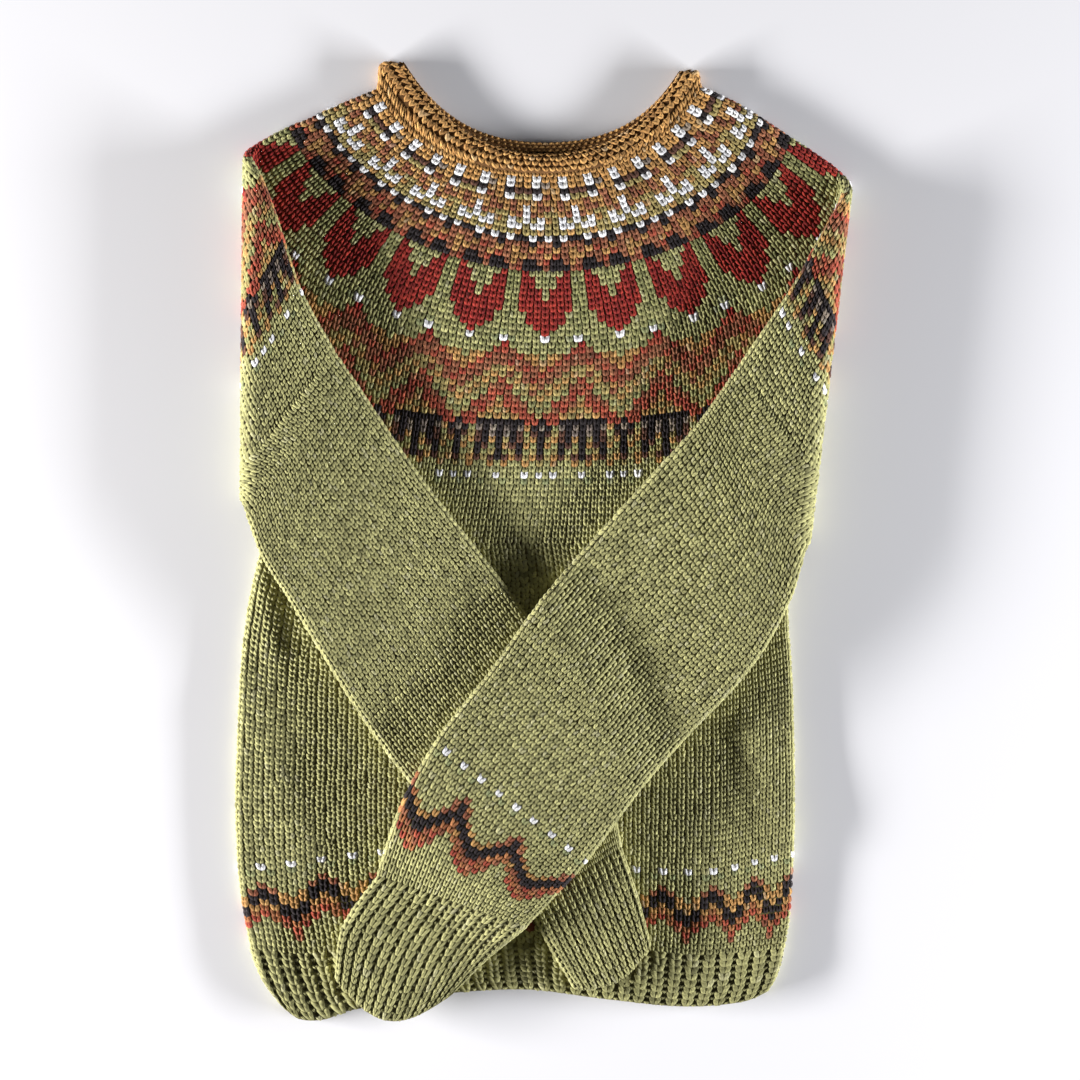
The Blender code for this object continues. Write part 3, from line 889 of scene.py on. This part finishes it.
def stitched(piece, rows):
    """All stitches of a plain knitted piece, fine where they show and simple where they don't."""
    surface = SURFACE[piece]
    c, v, width, letters = [], [], [], []
    for row in range(rows):
        count, shift, chart = chart_of(piece, row, rows)
        j = np.arange(count)
        whole = math.floor(shift)
        c.append((j + 0.5 + whole - shift) * 2 / count)
        v.append(np.full(count, (row + 0.5) / rows))
        width.append(np.full(count, 2 / count))
        letters.append(np.array(chart)[(j + whole) % len(chart)])
    c, v, width, letters = (np.concatenate(x) for x in (c, v, width, letters))
    step = np.full(len(c), 1 / rows)
    if piece == "body":
        c = np.interp(c % 2, COLUMN_TURNS, COLUMN_PLACES)
        width = np.where((c > COLUMN_PLACES[1]) & (c < 1), CROWDED * width, width)
        f = np.where(c % 2 < 1, c % 2, 2 - c % 2)
        spread = f + COLUMN_SPREAD * (f - f * f)
        width = width * (1 + COLUMN_SPREAD * (1 - 2 * f))
        c = np.where(c % 2 < 1, spread, 2 - spread)
        drop = np.interp(spread, *zip(*ROW_TILT)) / surface.length
        v = v + drop * np.interp(v, TILT_AT, TILT_SHARE)
    up, at = facing(surface, c, v)
    fine = up & ~hidden(piece, at)
    colours = mixed(letters, 2)
    base = np.full(len(c), BASE)
    made = []
    white = fine & (letters == "W")
    kinds = (fine & ~white, FINE, "stitches"), (white, BOLD, "white"), (~fine, PLAIN, "under")
    for mask, template, tag in kinds:
        index = np.flatnonzero(mask)
        chunks = max(1, math.ceil(len(index) / MAX_STITCHES)) if tag == "stitches" else 1
        for k, part in enumerate(np.array_split(index, chunks)):
            if not len(part):
                continue
            limit = np.full(len(part), HALF) if tag == "under" else None
            points, tint = knit(surface, template, c[part], v[part], width[part], step[part],
                                colours[part], base[part], limit)
            name = f"{piece}_{tag}" + (f"_{k + 1}" if chunks > 1 else "")
            made.append(add_mesh(name, points, template[2], tint, template[1]))
    PIECES[piece] = made


def ribbed(piece, rows, ribs, letter="G"):
    """Knit columns that stand up and purl columns sunk between them."""
    surface = SURFACE[piece]
    made = []
    row, col = np.meshgrid(np.arange(rows), np.arange(ribs), indexing="ij")
    row, col = row.ravel(), col.ravel()
    v = (row + 0.5) / rows
    for tag, at, wide, template, base in (
        # kind, place and width in shares of a rib, shape, height
        ("knit", 0.37, 0.73, FINE, 0.0036),
        ("purl", 0.87, 0.50, PURL, 0.0030),
    ):
        c = (col + at) * 2 / ribs
        up, place = facing(surface, c, v)
        colours = mixed(np.full(len(c), letter), 2)
        show = up & ~hidden(piece, place)
        kinds = [(show, template, tag)]
        if tag == "knit":
            kinds.append((~show, PLAIN, "knit_under"))
        for mask, shape, name in kinds:
            index = np.flatnonzero(mask)
            if not len(index):
                continue
            n = len(index)
            limit = None if mask is show else np.full(n, HALF)
            points, tint = knit(surface, shape, c[index], v[index], np.full(n, wide * 2 / ribs),
                                np.full(n, 1 / rows), colours[index], np.full(n, base), limit)
            made.append(add_mesh(f"{piece}_{name}", points, shape[2], tint, shape[1]))
    PIECES[piece] = made


def shell(piece, stops, across, rgb):
    """The thin wall under the stitches, darker than its yarn as painted shade in the gaps between stitches:
    stops are (v, h) from one end to the other.
    """
    surface = SURFACE[piece]
    c = np.arange(across) * 2 / across
    v = np.array([s[0] for s in stops])
    h = np.array([s[1] for s in stops])
    grid = surface.place(c[None] * np.ones((len(v), 1)), v[:, None] * np.ones((1, across)),
                         h[:, None] * np.ones((1, across)))
    grid[..., 2] = np.maximum(grid[..., 2], WALL_CLEAR)
    n = len(v)
    index = np.arange(n * across).reshape(n, across)
    quads = np.stack([index[:-1], np.roll(index, -1, 1)[:-1], np.roll(index, -1, 1)[1:], index[1:]], -1)
    uvs = np.zeros((n * across, 2))
    colours = np.broadcast_to(linear(rgb), (1, n * across, 3))
    return add_mesh(piece + "_wall", grid.reshape(1, -1, 3), quads.reshape(-1, 4), colours, uvs)


def straight(rows, h=WALL):
    return [(v, h) for v in np.linspace(0, 1, rows)]


ROWS = {name: max(2, round(s.length / ROW_STEP)) for name, s in SURFACE.items()}
# The yoke's rows are those of its charts
ROWS["yoke"] = 62
# Walls are coloured darker than their yarns: painted shade in the gaps between the stitches
WALLS = {
    "yoke": shell("yoke", straight(90), 200, (84, 66, 44)),
    "body": shell("body", straight(70), 150, (104, 96, 54)),
    "sleeve_left": shell("sleeve_left", straight(90), 70, (104, 96, 54)),
    "sleeve_right": shell("sleeve_right", straight(90), 70, (104, 96, 54)),
}
for name, across in (("hem_rib", 256), ("cuff_left", 84), ("cuff_right", 84)):
    stops = straight(12, RIB_WALL) + [(1.004, 0.0020), (1.0, 0.0013), (0.9, 0.0011)]
    WALLS[name] = shell(name, stops, across, (104, 98, 58))
for name in ("yoke", "body", "sleeve_left", "sleeve_right"):
    stitched(name, ROWS[name])
for name, ribs in (("hem_rib", HEM_RIBS), ("cuff_left", CUFF_RIBS), ("cuff_right", CUFF_RIBS)):
    ribbed(name, ROWS[name], ribs)

# Neck roll: a few plain knit rows by the yoke, then the band curls outward, purl side out
NECK_STITCHES = 112
NECK_KNIT_ROWS = 3
NECK_KNIT_STEP = 0.17
NECK_PURL_ROWS = 9
NECK_INSIDE_ROWS = 5
NECK_SINK = 0.0011
PURL_SINK = 0.0004
PURL_SIZE_STRAY = 0.10
PURL_PLACE_STRAY = 0.08
ROLL_OUT = (
    # how far up the band, height above its middle
    (0.00, 0.0036), (0.10, 0.0042), (0.28, 0.0050), (0.50, 0.0053), (0.72, 0.0051), (0.90, 0.0043),
    (1.00, 0.0030), (0.98, 0.0018), (0.85, 0.0010), (0.60, 0.0008),
)


def roll_at(f):
    """(v, h) on the curl, f from its seam to its tucked end."""
    table = np.array(ROLL_OUT)
    t = np.linspace(0, 1, len(table))
    return np.interp(f, t, table[:, 0]), np.interp(f, t, table[:, 1])


def knit_to(c):
    """How far up the neck band its plain knit rows reach: low in the middle, higher at the shoulders."""
    return 0.20 + 0.30 * np.abs(2 * np.mod(c, 1) - 1) ** 1.5


def neck():
    surface = SURFACE["neck_roll"]
    stops = [tuple(float(x) for x in roll_at(f)) for f in np.linspace(0, 1, 28)]
    # The wall is darker than the mustard yarn: painted shade in the gaps between the purl bumps
    wall = shell("neck_roll", [(v, h - 0.0007) for v, h in stops], 200, (118, 82, 44))
    made = []
    # Plain knit rows next to the yoke
    count = NECK_STITCHES
    row, col = (x.ravel() for x in np.meshgrid(np.arange(NECK_KNIT_ROWS), np.arange(count), indexing="ij"))
    c, v = (col + 0.5) * 2 / count, (row + 0.5) * NECK_KNIT_STEP
    keep = v < knit_to(c)
    c, v = c[keep], v[keep]
    base = np.interp(v, [s[0] for s in ROLL_OUT[:7]], [s[1] for s in ROLL_OUT[:7]]) - NECK_SINK
    points, tint = knit(surface, FINE, c, 1 - v, np.full(len(c), 2 / count),
                        np.full(len(c), NECK_KNIT_STEP),
                        mixed(np.full(len(c), "M"), 2), base, None, True)
    points[..., 2] = np.maximum(points[..., 2], NECK_CLEAR)
    made.append(add_mesh("neck_roll_knit", points, FINE[2], tint, FINE[1]))
    # Purl bumps over the curl
    rows = NECK_PURL_ROWS
    row, col = (x.ravel() for x in np.meshgrid(np.arange(rows), np.arange(count), indexing="ij"))
    shape, uvs, quads, part = PURL
    at = (col + 0.5 * (row % 2)) * 2 / count
    keep = (roll_at((row + 0.5) / rows)[0] > knit_to(at)) | (row > rows // 2)
    row, at = row[keep], at[keep]
    n = len(row)
    size = 1 + PURL_SIZE_STRAY * RNG.standard_normal((n, 1))
    slip = PURL_PLACE_STRAY * RNG.standard_normal((n, 2, 1))
    c = at[:, None] + (shape[None, :, 0] * size + slip[:, 0]) * 1.1 * 2 / count
    f = (row + 0.5)[:, None] / rows + (shape[None, :, 1] * size + slip[:, 1]) * 1.25 / rows
    v, h = roll_at(np.clip(f, 0, 1))
    points = surface.place(c, v, h - PURL_SINK + shape[None, :, 2])
    points[..., 2] = np.maximum(points[..., 2], NECK_CLEAR)
    tint = mixed(np.full(n, "M"), 1)[:, part]
    made.append(add_mesh("neck_roll_purl", points, quads, tint, uvs))
    # The inside of the back of the neck, seen over the front
    places = np.arange(NECK_INSIDE_ROWS), np.arange(count // 2)
    row, col = (x.ravel() for x in np.meshgrid(*places, indexing="ij"))
    c = 1 + ((col + 0.5 * (row % 2))[:, None] - shape[None, :, 0] * 1.15) * 2 / count
    c = np.clip(c, 1.02, 1.98)
    v = 0.98 - (row + 0.5)[:, None] * 0.16 - shape[None, :, 1] * 0.19
    points = surface.place(c, v, 0.0009 - shape[None, :, 2])
    tint = mixed(np.full(len(row), "M"), 1)[:, part]
    made.append(add_mesh("neck_roll_inside", points, quads, tint, uvs))
    PIECES["neck_roll"] = made
    WALLS["neck_roll"] = wall


neck()

# Floor, light and camera
floor_mesh = bpy.data.meshes.new("floor")
FLOOR_HALF = 6.0
corners = [(x * FLOOR_HALF, y * FLOOR_HALF, 0) for x, y in ((-1, -1), (1, -1), (1, 1), (-1, 1))]
floor_mesh.from_pydata(corners, [], [(0, 1, 2, 3)])
floor = bpy.data.objects.new("floor", floor_mesh)
bpy.context.scene.collection.objects.link(floor)
pale = bpy.data.materials.new("pale_floor")
pale.use_nodes = True
pale.node_tree.nodes["Principled BSDF"].inputs["Base Color"].default_value = (0.88, 0.875, 0.915, 1)
pale.node_tree.nodes["Principled BSDF"].inputs["Roughness"].default_value = 0.9
floor_mesh.materials.append(pale)

# Each wall and its stitches hang from the root body, and the solid piece of the same name is hidden
for name, wall in WALLS.items():
    for o in [wall] + PIECES[name]:
        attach(o, "root")
    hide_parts(name)


def lamp(name, place, aim, energy, size, colour):
    data = bpy.data.lights.new(name, "AREA")
    data.energy = energy
    data.color = colour
    data.shape = "RECTANGLE"
    data.size, data.size_y = size
    o = bpy.data.objects.new(name, data)
    bpy.context.scene.collection.objects.link(o)
    o.location = place
    o.rotation_euler = (Vector(aim) - Vector(place)).to_track_quat("-Z", "Y").to_euler()
    return o


lamp("key", (-2.40, -0.45, 0.46), (0, 0, 0), 205, (1.6, 0.25), (1, 0.99, 0.97))
lamp("fill", (2.35, -0.50, 0.44), (0, 0, 0), 150, (1.6, 0.25), (0.98, 0.99, 1))
world = bpy.data.worlds.new("studio")
bpy.context.scene.world = world
world.use_nodes = True
world.node_tree.nodes["Background"].inputs["Color"].default_value = (0.95, 0.95, 0.97, 1)
world.node_tree.nodes["Background"].inputs["Strength"].default_value = 0.06
bpy.context.scene.view_settings.view_transform = "Standard"
bpy.context.scene.view_settings.look = "None"

cam_data = bpy.data.cameras.new("camera")
cam_data.lens = 100
cam_data.sensor_width = 36
cam = bpy.data.objects.new("camera", cam_data)
bpy.context.scene.collection.objects.link(cam)
PICTURE = 1080 * GRID
look = lay((540, 540)) - np.array(BOX_MID)
cam.location = (look[0], look[1], 0.010 + PICTURE / 0.36)
bpy.context.scene.camera = cam
